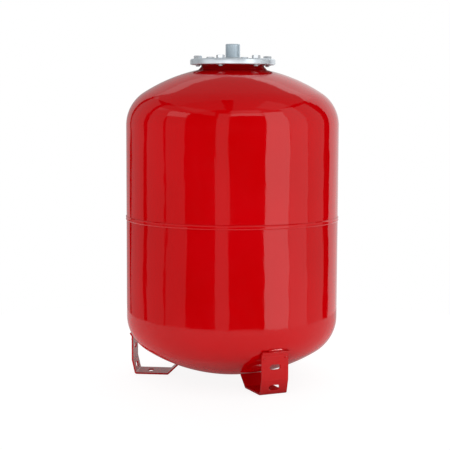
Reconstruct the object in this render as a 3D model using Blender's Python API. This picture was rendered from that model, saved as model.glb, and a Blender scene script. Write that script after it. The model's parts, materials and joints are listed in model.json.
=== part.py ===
"""Floor-standing expansion vessel for a closed heating system, 50 litres, 380 mm across, 597 mm high.

Two deep-drawn steel shells lap at mid height. A conical neck on the upper head carries a bolted,
zinc-plated flange with a G 3/4 pipe nipple, and clamps the mouth of a replaceable rubber bladder.
The gas side is filled through a valve in a pocket pressed into the lower head. Three slotted
strap feet are welded under the lower head.

Frame: origin on the vessel's axis at floor level, +Z up, the first foot towards -Y.
Units are metres. An outline is a list of (radius, height) points.
"""

import math

import bmesh
import bpy
from mathutils import Matrix, Vector

MM = 0.001
GAP = 0.3 * MM  # air left between neighbouring solids
WELD = 1e-7  # points closer than this are one point
FACETS_LARGE = 36  # sides of a round piece as wide as the vessel or its flange
FACETS_BLADDER = 24
FACETS_SMALL = 16
SMOOTH_ANGLE = math.radians(40)

# Vessel body
TANK_RADIUS = 190 * MM
WALL = 1.5 * MM
KNUCKLE_RADIUS = 69 * MM
CROWN_RADIUS = 291 * MM
LOWER_TANGENT = 110.5 * MM  # height where the cylinder meets the lower head
UPPER_TANGENT = 453 * MM
SEAM_Z = 288 * MM
LAP = 10 * MM  # length of the lower shell's lip inside the upper shell
JOGGLE = 3 * MM  # height over which the lip steps inwards
SEAM_BEAD_HEIGHT = 8 * MM
SEAM_BEAD_DEPTH = 1.4 * MM
SEAM_BEAD_GROOVE = 0.5 * MM
SEAM_CREST_SHARE = 0.6  # how far up and down the bead its two crests lie
NECK_HOLE_RADIUS = 52 * MM

# Bolted flange stack, from the top down
FLANGE_TOP = 570.5 * MM
FLANGE_RADIUS = 76 * MM
FLANGE_WALL = 2.5 * MM
FLANGE_RIM = 10.3 * MM
FLANGE_BEND = 2 * MM
BOLT_CIRCLE_RADIUS = 63 * MM
BOLT_COUNT = 6
BOLT_START_DEG = 16
BOLT_HOLE_RADIUS = 4.5 * MM
BEAD_THICKNESS = 2 * MM
COLLAR_WALL = 2 * MM
COLLAR_RADIUS = 72 * MM
COLLAR_FOOT_RADIUS = 58.2 * MM
COLLAR_WAIST = (55.1 * MM, 556.6 * MM)
COLLAR_THROAT_RADIUS = 53.9 * MM
COLLAR_BEND = 1.5 * MM
NECK_WELD_REACH = 1.4 * MM
NECK_WELD_RISE = 2 * MM

# M8 hexagon bolts and thin nuts
BOLT_RADIUS = 4 * MM
BOLT_LENGTH = 14 * MM
BOLT_POINT = 1 * MM  # chamfer at the tip
HEX_ACROSS_FLATS = 13 * MM
BOLT_HEAD_HEIGHT = 5.3 * MM
NUT_HEIGHT = 4 * MM

# G 3/4 water nipple
NIPPLE_TOP = 597 * MM
NIPPLE_RADIUS = 13.2 * MM
NIPPLE_BORE_RADIUS = 10 * MM
NIPPLE_CHAMFER = 1.2 * MM
NIPPLE_WELD_LEG = 3 * MM
NIPPLE_WELD_WAIST = 1.2 * MM
NIPPLE_FACETS = 32

# Bladder
BLADDER_WALL = 2 * MM
BLADDER_BEAD_RADIUS = 57 * MM
BLADDER_THROAT_RADIUS = 46.5 * MM
BLADDER_RADIUS = 158 * MM
BLADDER_BOTTOM_Z = 78 * MM
BLADDER_NECK_DROP = 22 * MM  # from the upper pole to the end of the bladder's neck
BLADDER_SHOULDER_RISE = 20 * MM  # above the upper tangent line
BLADDER_SHOULDER_BEND = 60 * MM
BLADDER_WAIST_RISE = 40 * MM  # above the lower tangent line
BLADDER_BOTTOM_STEPS = 6

# Strap feet
FOOT_COUNT = 3
FOOT_WIDTH = 50 * MM
FOOT_WALL = 3 * MM
FOOT_BEND = 3 * MM
FOOT_PLATE_RADIUS = 178.8 * MM  # middle of the upright plate
FOOT_TAB_LENGTH = 7 * MM
FOOT_TAB_LEAN_DEG = 34
FOOT_TAB_Z = 69.5 * MM
FOOT_KINK_Z = 26 * MM
FOOT_HEEL_RADIUS = 173.1 * MM
FOOT_TOE_RADIUS = 114.2 * MM
FOOT_TOE_END = (94.6 * MM, 20.4 * MM)
SLOT_LENGTH = 20 * MM
SLOT_WIDTH = 9 * MM
UPRIGHT_SLOT_Z = 48.5 * MM
HEEL_SLOT_Z = 13 * MM
SOLE_SLOT_RADIUS = 149 * MM
OUTER_BEAD_LENGTH = 26 * MM  # weld beads of a foot
INNER_BEAD_LENGTH = 30 * MM
BEAD_RADIUS = 1.2 * MM

# Gas valve and the pocket that it stands in
POCKET_MOUTH_RADIUS = 31 * MM
POCKET_TOP_RADIUS = 25 * MM
POCKET_TOP_Z = 44.75 * MM  # middle of the pocket's roof plate
POCKET_HOLE_RADIUS = 9.8 * MM
POCKET_FILLET = 4 * MM
BOSS_RADIUS = 9.5 * MM
BOSS_BORE_RADIUS = 6.3 * MM
BOSS_BOTTOM_Z = 39 * MM
BOSS_TOP_Z = 51 * MM
STEM_RADIUS = 3.85 * MM
STEM_BORE_RADIUS = 2.9 * MM
STEM_MOUTH_Z = 19.2 * MM
STEM_HEX_ACROSS_FLATS = 16 * MM
STEM_HEX_HEIGHT = 4.2 * MM
STEM_PASSAGE_RADIUS = 1.5 * MM
STEM_CHAMBER_RISE = 5 * MM  # above the core
STEM_SEAL_THICKNESS = 1.2 * MM
BOSS_WELD_LEG = 2.2 * MM
CORE_BOTTOM_Z = 24 * MM
CORE_TOP_Z = 33 * MM
CORE_HEAD_HEIGHT = 3 * MM
CORE_SHELL_RADIUS = 1.9 * MM
CORE_CAVITY_RADIUS = 1.65 * MM
CORE_LEDGE = 1 * MM
PIN_RADIUS = 0.65 * MM
PIN_COLLAR_RADIUS = 1.3 * MM
PIN_COLLAR_HEIGHT = 0.8 * MM
PIN_BUTTON_RADIUS = 1.5 * MM
PIN_BUTTON_HEIGHT = 0.5 * MM
PIN_SEAL_HEIGHT = 1.3 * MM
PIN_INSET = 0.4 * MM  # of the pin's tip in the stem, and of its collar in the sleeve
CAP_BOTTOM_Z = 14.4 * MM
CAP_TOP_Z = 28 * MM
CAP_RADIUS = 6.2 * MM
CAP_END_WALL = 2.6 * MM
CAP_RIB_DEPTH = 0.4 * MM
CAP_RIBS = 12
SPRING_TURNS = 5
SPRING_WIRE_RADIUS = 0.15 * MM
SPRING_RADIUS = 1.15 * MM
SPRING_POINTS_PER_TURN = 8

MATERIALS = {
    # name: (colour, metallic, roughness)
    "red_paint": ((0.62, 0.008, 0.012), 0.0, 0.18),
    "zinc": ((0.66, 0.69, 0.73), 1.0, 0.32),
    "brass": ((0.80, 0.62, 0.28), 1.0, 0.3),
    "rubber": ((0.03, 0.03, 0.03), 0.0, 0.75),
    "black_plastic": ((0.04, 0.04, 0.045), 0.0, 0.5),
    "spring_steel": ((0.5, 0.5, 0.52), 1.0, 0.3),
}


# ---------------------------------------------------------------- outlines


def arc(centre, radius, start_deg, end_deg, steps):
    """Points on an arc, counted anticlockwise from the radius axis."""
    turn = (end_deg - start_deg) / steps
    angles = [math.radians(start_deg + turn * i) for i in range(steps + 1)]
    return [
        (centre[0] + radius * math.cos(a), centre[1] + radius * math.sin(a))
        for a in angles
    ]


def rounded(corners, radius, steps=3):
    """A path through the corners, each inner corner replaced by an arc."""
    points = [Vector(c) for c in corners]
    path = [points[0]]
    for before, corner, after in zip(points, points[1:], points[2:]):
        back = (before - corner).normalized()
        on = (after - corner).normalized()
        half = back.angle(on) / 2
        centre = corner + (back + on).normalized() * radius / math.sin(half)
        start = corner + back * radius / math.tan(half) - centre
        side = math.copysign(1, back.x * on.y - back.y * on.x)
        sweep = -side * (math.pi - 2 * half)
        for i in range(steps + 1):
            path.append(centre + Matrix.Rotation(sweep * i / steps, 2) @ start)
    return [tuple(p) for p in path + [points[-1]]]


def strip(path, thickness):
    """The closed outline of a sheet of this thickness whose middle follows the path."""
    points = [Vector(p) for p in path]
    runs = [(b - a).normalized() for a, b in zip(points, points[1:])]
    left, right = [], []
    for point, before, after in zip(points, [runs[0]] + runs, runs + [runs[-1]]):
        along = (before + after).normalized()
        reach = thickness / 2 / along.dot(before)
        across = Vector((-along.y, along.x)) * reach
        left.append(tuple(point + across))
        right.append(tuple(point - across))
    return left + right[::-1]


def crown_drop(radius):
    """How far the middle of the crown's sheet lies inside its pole at this radius."""
    crown = CROWN_RADIUS - WALL / 2
    return crown - math.sqrt(crown**2 - radius**2)


def head_height():
    """From the tangent line to the pole, along the middle of the sheet."""
    rise = (CROWN_RADIUS - KNUCKLE_RADIUS) ** 2 - (TANK_RADIUS - KNUCKLE_RADIUS) ** 2
    return CROWN_RADIUS - WALL / 2 - math.sqrt(rise)


def head_path(end_radius):
    """A torispherical head's middle line, as (radius, height above the tangent line)."""
    reach = (TANK_RADIUS - KNUCKLE_RADIUS) / (CROWN_RADIUS - KNUCKLE_RADIUS)
    meet_deg = math.degrees(math.acos(reach))
    crown = CROWN_RADIUS - WALL / 2
    crown_centre = (0, head_height() - crown)
    end_deg = math.degrees(math.acos(end_radius / crown))
    knuckle = arc(
        (TANK_RADIUS - KNUCKLE_RADIUS, 0), KNUCKLE_RADIUS - WALL / 2, 0, meet_deg, 5
    )
    return knuckle + arc(crown_centre, crown, meet_deg, end_deg, 3)[1:]


def ring(inner, outer, bottom, top):
    return [(inner, top), (inner, bottom), (outer, bottom), (outer, top)]


def rod(radius, bottom, top):
    return [(0, top), (radius, top), (radius, bottom), (0, bottom)]


# ---------------------------------------------------------------- objects


def material(name):
    made = bpy.data.materials.get(name)
    if made is None:
        colour, metallic, roughness = MATERIALS[name]
        made = bpy.data.materials.new(name)
        made.use_nodes = True
        shader = made.node_tree.nodes["Principled BSDF"]
        shader.inputs["Base Color"].default_value = (*colour, 1)
        shader.inputs["Metallic"].default_value = metallic
        shader.inputs["Roughness"].default_value = roughness
    return made


def place(name, mesh, parent=None, turn_deg=0.0):
    """A new object with this mesh, turned about the vessel's axis."""
    made = bpy.data.objects.new(name, mesh)
    bpy.context.scene.collection.objects.link(made)
    made.rotation_euler.z = math.radians(turn_deg)
    made.parent = parent
    return made


def mesh_of(bm, name, finish):
    """The bmesh as a closed, outward-facing, smooth-shaded mesh."""
    bmesh.ops.remove_doubles(bm, verts=bm.verts[:], dist=WELD)
    bmesh.ops.recalc_face_normals(bm, faces=bm.faces[:])
    mesh = bpy.data.meshes.new(name)
    bm.to_mesh(mesh)
    bm.free()
    mesh.shade_smooth()
    mesh.set_sharp_from_angle(angle=SMOOTH_ANGLE)
    mesh.materials.append(material(finish))
    return mesh


def turned(name, outline, finish, facets=FACETS_LARGE, centre=(0, 0)):
    """The outline turned about the vertical line through centre. One that starts and ends
    on the axis is a solid piece, and any other is a ring."""
    bm = bmesh.new()
    corners = [bm.verts.new((centre[0] + r, centre[1], z)) for r, z in outline]
    after = corners[1:] + ([] if outline[0][0] < WELD else corners[:1])
    edges = [bm.edges.new(pair) for pair in zip(corners, after)]
    bmesh.ops.spin(
        bm,
        geom=corners + edges,
        cent=(*centre, 0),
        axis=(0, 0, 1),
        angle=math.tau,
        steps=facets,
        use_merge=True,
    )
    return mesh_of(bm, name, finish)


def prism(name, outline, depth, finish, axes):
    """A flat outline extruded by depth, half to each side. axes gives the directions of the
    outline's first and second numbers and of the extrusion."""
    across, up, out = (Vector(a).normalized() for a in axes)
    bm = bmesh.new()
    base = [bm.verts.new(across * a + up * b - out * depth / 2) for a, b in outline]
    face = bm.faces.new(base)
    grown = bmesh.ops.extrude_face_region(bm, geom=[face])
    moved = [v for v in grown["geom"] if isinstance(v, bmesh.types.BMVert)]
    bmesh.ops.translate(bm, verts=moved, vec=out * depth)
    return mesh_of(bm, name, finish)


def joined(bodies, name):
    """Several meshes as one, for a cutter of separate bodies."""
    bm = bmesh.new()
    for mesh in bodies:
        bm.from_mesh(mesh)
    made = bpy.data.meshes.new(name)
    bm.to_mesh(made)
    bm.free()
    return made


def combined(base, tool, operation, name):
    """The mesh that a Boolean of two meshes leaves."""
    first, second = place("base", base), place("tool", tool)
    boolean = first.modifiers.new(operation, "BOOLEAN")
    boolean.operation = operation
    boolean.object = second
    bpy.context.view_layer.update()
    graph = bpy.context.evaluated_depsgraph_get()
    mesh = bpy.data.meshes.new_from_object(first.evaluated_get(graph))
    mesh.name = name
    bpy.data.objects.remove(first)
    bpy.data.objects.remove(second)
    return mesh


def hexagon(across_flats):
    """Corner points, with a flat facing the first direction."""
    radius = across_flats / math.sqrt(3)
    turns = [math.radians(30 + 60 * i) for i in range(6)]
    return [(radius * math.cos(t), radius * math.sin(t)) for t in turns]


def stadium(length, width):
    """A slot's outline, long in the first direction."""
    reach = (length - width) / 2
    right = arc((reach, 0), width / 2, -90, 90, 6)
    left = arc((-reach, 0), width / 2, 90, 270, 6)
    return right + left


def at(mesh, offset):
    """The mesh, moved."""
    mesh.transform(Matrix.Translation(Vector(offset)))
    return mesh


def flat_prism(name, outline, bottom, top, finish):
    """A horizontal outline extruded upwards from bottom to top."""
    axes = ((1, 0, 0), (0, 1, 0), (0, 0, 1))
    made = prism(name, outline, top - bottom, finish, axes)
    return at(made, (0, 0, (top + bottom) / 2))


# ---------------------------------------------------------------- vessel body


def lower_pole_z():
    return LOWER_TANGENT - head_height()


def upper_pole_z():
    return UPPER_TANGENT + head_height()


def shells(root):
    """The two deep-drawn halves and the weld bead round their lap joint."""
    middle = TANK_RADIUS - WALL / 2
    upper = [(middle, SEAM_Z - GAP)]
    upper += [(r, UPPER_TANGENT + h) for r, h in head_path(NECK_HOLE_RADIUS)]
    place("upper_shell", turned("upper_shell", strip(upper, WALL), "red_paint"), root)

    lip = middle - WALL - GAP
    joggle_top = SEAM_Z - GAP - WALL / 2
    lower = [(lip, SEAM_Z + LAP), (lip, joggle_top), (middle, joggle_top - JOGGLE)]
    crown_end = POCKET_MOUTH_RADIUS + 2 * POCKET_FILLET
    lower += [(r, LOWER_TANGENT - h) for r, h in head_path(crown_end)]
    mouth = (POCKET_MOUTH_RADIUS, lower_pole_z() + crown_drop(POCKET_MOUTH_RADIUS))
    roof = [(POCKET_TOP_RADIUS, POCKET_TOP_Z), (POCKET_HOLE_RADIUS, POCKET_TOP_Z)]
    pocket = rounded([lower[-1], mouth] + roof, POCKET_FILLET, steps=2)
    outline = strip(lower + pocket[1:], WALL)
    place("lower_shell", turned("lower_shell", outline, "red_paint"), root)

    inner = TANK_RADIUS + GAP
    crest = TANK_RADIUS + SEAM_BEAD_DEPTH
    half = SEAM_BEAD_HEIGHT / 2
    crest_rise = half * SEAM_CREST_SHARE
    bead_outline = [
        (inner, SEAM_Z + half),
        (inner, SEAM_Z - half),
        (crest, SEAM_Z - crest_rise),
        (crest - SEAM_BEAD_GROOVE, SEAM_Z),
        (crest, SEAM_Z + crest_rise),
    ]
    place("seam_weld", turned("seam_weld", bead_outline, "red_paint"), root)


# ---------------------------------------------------------------- neck and flange


def flange_underside():
    return FLANGE_TOP - FLANGE_WALL


def collar_top():
    return flange_underside() - 2 * GAP - BEAD_THICKNESS


def bolt_places():
    """Azimuths of the bolts, from -Y towards +X."""
    return [BOLT_START_DEG + 360 / BOLT_COUNT * i for i in range(BOLT_COUNT)]


def bolt_holes(bottom, top):
    """A cutter with one cylinder for each bolt."""
    bodies = []
    for azimuth in bolt_places():
        angle = math.radians(azimuth)
        centre = (
            BOLT_CIRCLE_RADIUS * math.sin(angle),
            -BOLT_CIRCLE_RADIUS * math.cos(angle),
        )
        hole = rod(BOLT_HOLE_RADIUS, bottom, top)
        bodies.append(turned("hole", hole, "zinc", FACETS_SMALL, centre))
    return joined(bodies, "holes")


def neck(root):
    """The conical collar on the upper head, which ends in the ring that the bolts pass through."""
    ring_z = collar_top() - COLLAR_WALL / 2
    skirt_z = upper_pole_z() - crown_drop(COLLAR_FOOT_RADIUS) + WALL / 2
    skirt_z += GAP + COLLAR_WALL / 3
    path = rounded(
        [
            (COLLAR_FOOT_RADIUS, skirt_z),
            COLLAR_WAIST,
            (COLLAR_THROAT_RADIUS, ring_z),
            (COLLAR_RADIUS, ring_z),
        ],
        COLLAR_BEND,
        steps=2,
    )
    blank = turned("collar_blank", strip(path, COLLAR_WALL), "red_paint")
    holes = bolt_holes(ring_z - COLLAR_WALL, ring_z + COLLAR_WALL)
    place("neck_collar", combined(blank, holes, "DIFFERENCE", "neck_collar"), root)

    foot = COLLAR_FOOT_RADIUS + COLLAR_WALL / 2 + 2 * GAP
    edge = foot + NECK_WELD_REACH
    top = upper_pole_z() + WALL / 2 + GAP
    fillet = [
        (foot, top - crown_drop(foot)),
        (edge, top - crown_drop(edge)),
        (foot - 2 * GAP, top - crown_drop(foot) + NECK_WELD_RISE),
    ]
    place("neck_weld", turned("neck_weld", fillet, "red_paint"), root)


def flange(root):
    """The pressed flange plate with its turned-down rim, and the nipple welded through it."""
    plate_z = FLANGE_TOP - FLANGE_WALL / 2
    rim_radius = FLANGE_RADIUS - FLANGE_WALL / 2
    hole = NIPPLE_RADIUS + GAP
    corners = [(hole, plate_z), (rim_radius, plate_z), (rim_radius, FLANGE_TOP - FLANGE_RIM)]
    path = rounded(corners, FLANGE_BEND)
    blank = turned("flange_blank", strip(path, FLANGE_WALL), "zinc")
    holes = bolt_holes(plate_z - FLANGE_WALL, plate_z + FLANGE_WALL)
    place("flange_plate", combined(blank, holes, "DIFFERENCE", "flange_plate"), root)

    end = NIPPLE_TOP - NIPPLE_CHAMFER
    tube = [
        (NIPPLE_BORE_RADIUS, NIPPLE_TOP),
        (NIPPLE_BORE_RADIUS, flange_underside()),
        (NIPPLE_RADIUS, flange_underside()),
        (NIPPLE_RADIUS, end),
        (NIPPLE_RADIUS - NIPPLE_CHAMFER, NIPPLE_TOP),
    ]
    place("water_nipple", turned("water_nipple", tube, "zinc", NIPPLE_FACETS), root)

    base = FLANGE_TOP + GAP
    inner = NIPPLE_RADIUS + GAP
    fillet = [
        (inner, base),
        (inner + NIPPLE_WELD_LEG, base),
        (inner + NIPPLE_WELD_WAIST, base + NIPPLE_WELD_WAIST),
        (inner, base + NIPPLE_WELD_LEG),
    ]
    place("nipple_weld", turned("nipple_weld", fillet, "zinc", NIPPLE_FACETS), root)


def flange_fasteners(root):
    """The M8 bolts from above, each with its nut under the collar's ring."""
    under_head = FLANGE_TOP + GAP
    head = flat_prism(
        "head", hexagon(HEX_ACROSS_FLATS), under_head, under_head + BOLT_HEAD_HEIGHT, "zinc"
    )
    tip = under_head - BOLT_LENGTH
    top = under_head + BOLT_HEAD_HEIGHT / 2
    shank_outline = [
        (0, top),
        (BOLT_RADIUS, top),
        (BOLT_RADIUS, tip + BOLT_POINT),
        (BOLT_RADIUS - BOLT_POINT, tip),
        (0, tip),
    ]
    shank = turned("shank", shank_outline, "zinc", FACETS_SMALL)
    bolt = combined(head, shank, "UNION", "flange_bolt")

    nut_top = collar_top() - COLLAR_WALL - GAP
    nut_bottom = nut_top - NUT_HEIGHT
    block = flat_prism("block", hexagon(HEX_ACROSS_FLATS), nut_bottom, nut_top, "zinc")
    bore = BOLT_RADIUS + GAP
    drill = turned("drill", rod(bore, nut_bottom - GAP, nut_top + GAP), "zinc", FACETS_SMALL)
    nut = combined(block, drill, "DIFFERENCE", "flange_nut")

    for mesh in (bolt, nut):
        # A flat faces the axis, so that the nut clears the cone of the collar.
        mesh.transform(Matrix.Rotation(math.radians(90), 4, "Z"))
        mesh.transform(Matrix.Translation((0, -BOLT_CIRCLE_RADIUS, 0)))
    for number, azimuth in enumerate(bolt_places(), 1):
        place(f"flange_bolt_{number}", bolt, root, azimuth)
        place(f"flange_nut_{number}", nut, root, azimuth)


def bladder(root):
    """The bag that holds the system water, with the bead that the flange clamps."""
    bead_top = flange_underside() - GAP
    bead_mid = bead_top - BEAD_THICKNESS / 2
    neck_end = upper_pole_z() - BLADDER_NECK_DROP
    shoulder = (BLADDER_RADIUS, UPPER_TANGENT + BLADDER_SHOULDER_RISE)
    waist = (BLADDER_RADIUS, LOWER_TANGENT + BLADDER_WAIST_RISE)
    path = rounded(
        [
            (BLADDER_BEAD_RADIUS, bead_mid),
            (BLADDER_THROAT_RADIUS, bead_mid),
            (BLADDER_THROAT_RADIUS, neck_end),
        ],
        BLADDER_WALL,
        steps=2,
    )
    body = rounded(
        [(BLADDER_THROAT_RADIUS, neck_end), shoulder, waist],
        BLADDER_SHOULDER_BEND,
        steps=4,
    )
    bottom_rise = waist[1] - BLADDER_BOTTOM_Z
    for i in range(1, BLADDER_BOTTOM_STEPS + 1):
        angle = math.pi / 2 * i / BLADDER_BOTTOM_STEPS
        radius = BLADDER_RADIUS * math.cos(angle)
        body.append((max(radius, 0.0), waist[1] - bottom_rise * math.sin(angle)))
    outline = strip(path + body[1:], BLADDER_WALL)
    half = len(outline) // 2
    closed = outline[half:] + outline[:half]
    # The two points of the closed end lie on the axis.
    closed[0] = (0, closed[0][1])
    closed[-1] = (0, closed[-1][1])
    place("bladder", turned("bladder", closed, "rubber", FACETS_BLADDER), root)


# ---------------------------------------------------------------- feet


def foot_path():
    """The middle of the bent strap, as (distance from the axis, height)."""
    lean = math.radians(FOOT_TAB_LEAN_DEG)
    tab_end = (
        FOOT_PLATE_RADIUS + FOOT_TAB_LENGTH * math.sin(lean),
        FOOT_TAB_Z + FOOT_TAB_LENGTH * math.cos(lean),
    )
    sole = FOOT_WALL / 2
    return [
        tab_end,
        (FOOT_PLATE_RADIUS, FOOT_TAB_Z),
        (FOOT_PLATE_RADIUS, FOOT_KINK_Z),
        (FOOT_HEEL_RADIUS, sole),
        (FOOT_TOE_RADIUS, sole),
        FOOT_TOE_END,
    ]


def slot_cutters():
    """One slot through the upright plate, one through the sloping heel and one in the sole."""
    outline = stadium(SLOT_LENGTH, SLOT_WIDTH)
    depth = 4 * FOOT_WALL
    rise = Vector((0, FOOT_HEEL_RADIUS - FOOT_PLATE_RADIUS, FOOT_KINK_Z - FOOT_WALL / 2))
    share = (HEEL_SLOT_Z - FOOT_WALL / 2) / rise.z
    heel = Vector((0, -FOOT_HEEL_RADIUS, FOOT_WALL / 2)) + rise * share
    side = Vector((1, 0, 0))
    upright = ((0, -FOOT_PLATE_RADIUS, UPRIGHT_SLOT_Z), (0, 0, 1))
    sole = ((0, -SOLE_SLOT_RADIUS, FOOT_WALL / 2), (0, 1, 0))
    bodies = []
    for centre, up in (upright, (heel, rise), sole):
        axes = (side, up, side.cross(Vector(up)))
        bodies.append(at(prism("slot", outline, depth, "red_paint", axes), centre))
    return joined(bodies, "slots")


def above_tab(out, on):
    """A point further up the lower knuckle than the tab's end, and clear of the shell."""
    centre = Vector((TANK_RADIUS - KNUCKLE_RADIUS, LOWER_TANGENT))
    arm = Vector(foot_path()[0]) - centre
    arm = Matrix.Rotation(on / KNUCKLE_RADIUS, 2) @ arm.normalized()
    return centre + arm * (KNUCKLE_RADIUS + out)


def bead(name, length, radius, centre):
    """A short weld bead along X."""
    bm = bmesh.new()
    bmesh.ops.create_uvsphere(bm, u_segments=8, v_segments=6, radius=1)
    bmesh.ops.rotate(bm, verts=bm.verts[:], matrix=Matrix.Rotation(math.pi / 2, 3, "Y"))
    bmesh.ops.scale(bm, verts=bm.verts[:], vec=(length / 2, radius, radius))
    return at(mesh_of(bm, name, "red_paint"), centre)


def feet(root):
    path = rounded(foot_path(), FOOT_BEND)
    axes = ((0, -1, 0), (0, 0, 1), (1, 0, 0))
    blank = prism("foot_blank", strip(path, FOOT_WALL), FOOT_WIDTH, "red_paint", axes)
    foot = combined(blank, slot_cutters(), "DIFFERENCE", "foot")

    radius, height = above_tab(BEAD_RADIUS + GAP, BEAD_RADIUS + 2 * GAP)
    outer = bead("outer_bead", OUTER_BEAD_LENGTH, BEAD_RADIUS, (0, -radius, height))
    toe, end = (Vector(point) for point in foot_path()[-2:])
    rise = (end - toe).normalized()
    below = Vector((-rise.y, rise.x)) * (FOOT_WALL / 2 + BEAD_RADIUS + GAP)
    radius, height = end + below + rise * 2 * GAP
    inner = bead("inner_bead", INNER_BEAD_LENGTH, BEAD_RADIUS, (0, -radius, height))
    for number in range(1, FOOT_COUNT + 1):
        azimuth = 360 / FOOT_COUNT * (number - 1)
        place(f"foot_{number}", foot, root, azimuth)
        place(f"foot_outer_weld_{number}", outer, root, azimuth)
        place(f"foot_inner_weld_{number}", inner, root, azimuth)


# ---------------------------------------------------------------- gas valve


def valve_body(root):
    """The welded boss, and the brass stem that screws into it against a seal."""
    boss = ring(BOSS_BORE_RADIUS, BOSS_RADIUS, BOSS_BOTTOM_Z, BOSS_TOP_Z)
    place("valve_boss", turned("valve_boss", boss, "zinc", FACETS_SMALL), root)
    roof = POCKET_TOP_Z - WALL / 2 - GAP
    inner = BOSS_RADIUS + GAP
    fillet = [(inner, roof), (inner, roof - BOSS_WELD_LEG), (inner + BOSS_WELD_LEG, roof)]
    place("boss_weld", turned("boss_weld", fillet, "red_paint", FACETS_SMALL), root)

    seal_top = BOSS_BOTTOM_Z - GAP
    seal_bottom = seal_top - STEM_SEAL_THICKNESS
    seal = ring(BOSS_BORE_RADIUS, BOSS_RADIUS - 1 * MM, seal_bottom, seal_top)
    place("stem_seal", turned("stem_seal", seal, "rubber", FACETS_SMALL), root)

    hex_top = seal_bottom - GAP
    hex_bottom = hex_top - STEM_HEX_HEIGHT
    hex_middle = (hex_bottom + hex_top) / 2
    thread = BOSS_BORE_RADIUS - GAP
    chamber_top = CORE_TOP_Z + STEM_CHAMBER_RISE
    stem_top = BOSS_TOP_Z - GAP
    tube = [
        (STEM_BORE_RADIUS, STEM_MOUTH_Z),
        (STEM_RADIUS, STEM_MOUTH_Z),
        (STEM_RADIUS, hex_middle),
        (thread, hex_middle),
        (thread, stem_top),
        (STEM_PASSAGE_RADIUS, stem_top),
        (STEM_PASSAGE_RADIUS, chamber_top),
        (STEM_BORE_RADIUS, chamber_top),
    ]
    flats = flat_prism("flats", hexagon(STEM_HEX_ACROSS_FLATS), hex_bottom, hex_top, "brass")
    hole = STEM_RADIUS - GAP
    drill = turned("drill", rod(hole, hex_bottom - GAP, hex_top + GAP), "brass", FACETS_SMALL)
    nut = combined(flats, drill, "DIFFERENCE", "nut")
    stem = turned("stem", tube, "brass", FACETS_SMALL)
    place("valve_stem", combined(stem, nut, "UNION", "valve_stem"), root)


def valve_core(root):
    """The insert that seals the stem: a fixed sleeve, and a sprung pin with its seal."""
    head_top = CORE_BOTTOM_Z + CORE_HEAD_HEIGHT
    head = STEM_BORE_RADIUS - GAP
    ledge = CORE_TOP_Z - CORE_LEDGE
    sleeve = [
        (CORE_CAVITY_RADIUS, CORE_BOTTOM_Z),
        (head, CORE_BOTTOM_Z),
        (head, head_top),
        (CORE_SHELL_RADIUS, head_top),
        (CORE_SHELL_RADIUS, CORE_TOP_Z),
        (PIN_RADIUS + GAP, CORE_TOP_Z),
        (PIN_RADIUS + GAP, ledge),
        (CORE_CAVITY_RADIUS, ledge),
    ]
    place("core_sleeve", turned("core_sleeve", sleeve, "brass", FACETS_SMALL), root)
    gasket = ring(CORE_SHELL_RADIUS + GAP, head, head_top + CORE_LEDGE, head_top + 3 * CORE_LEDGE)
    place("core_gasket", turned("core_gasket", gasket, "rubber", FACETS_SMALL), root)

    collar_bottom = CORE_BOTTOM_Z + PIN_INSET
    collar_end = collar_bottom + PIN_COLLAR_HEIGHT
    seal_top = CORE_TOP_Z + GAP + PIN_SEAL_HEIGHT
    button_bottom = seal_top + GAP
    tip = STEM_MOUTH_Z + PIN_INSET
    pin = [
        (0, button_bottom + PIN_BUTTON_HEIGHT),
        (PIN_BUTTON_RADIUS, button_bottom + PIN_BUTTON_HEIGHT),
        (PIN_BUTTON_RADIUS, button_bottom),
        (PIN_RADIUS, button_bottom),
        (PIN_RADIUS, collar_end),
        (PIN_COLLAR_RADIUS, collar_end),
        (PIN_COLLAR_RADIUS, collar_bottom),
        (PIN_RADIUS, collar_bottom),
        (PIN_RADIUS, tip),
        (0, tip),
    ]
    place("core_pin", turned("core_pin", pin, "brass", FACETS_SMALL), root)
    seal = ring(PIN_RADIUS + GAP, CORE_SHELL_RADIUS, CORE_TOP_Z + GAP, seal_top)
    place("pin_seal", turned("pin_seal", seal, "rubber", FACETS_SMALL), root)

    low = collar_end + GAP + SPRING_WIRE_RADIUS
    high = ledge - GAP - SPRING_WIRE_RADIUS
    count = SPRING_TURNS * SPRING_POINTS_PER_TURN
    curve = bpy.data.curves.new("core_spring", "CURVE")
    curve.dimensions = "3D"
    curve.bevel_depth = SPRING_WIRE_RADIUS
    curve.bevel_resolution = 1
    curve.use_fill_caps = True
    wire = curve.splines.new("POLY")
    wire.points.add(count)
    for i, point in enumerate(wire.points):
        angle = math.tau * i / SPRING_POINTS_PER_TURN
        height = low + (high - low) * i / count
        point.co = (SPRING_RADIUS * math.cos(angle), SPRING_RADIUS * math.sin(angle), height, 1)
    curve.materials.append(material("spring_steel"))
    place("core_spring", curve, root)


def valve_cap(root):
    """The ribbed dust cap that screws over the stem, with the seal in its end."""
    cavity = STEM_RADIUS + GAP
    floor = CAP_BOTTOM_Z + CAP_END_WALL
    count = 2 * CAP_RIBS
    ribs = []
    for i in range(count):
        radius = CAP_RADIUS - (CAP_RIB_DEPTH if i % 2 else 0)
        angle = math.tau * i / count
        ribs.append((radius * math.cos(angle), radius * math.sin(angle)))
    blank = flat_prism("cap_blank", ribs, CAP_BOTTOM_Z, CAP_TOP_Z, "black_plastic")
    hollow = rod(cavity, floor, CAP_TOP_Z + GAP)
    drill = turned("drill", hollow, "black_plastic", FACETS_SMALL)
    place("valve_cap", combined(blank, drill, "DIFFERENCE", "valve_cap"), root)

    seal_top = STEM_MOUTH_Z - GAP
    seal = cavity - GAP
    disc = rod(seal, floor + GAP, seal_top)
    place("cap_seal", turned("cap_seal", disc, "rubber", FACETS_SMALL), root)


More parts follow.
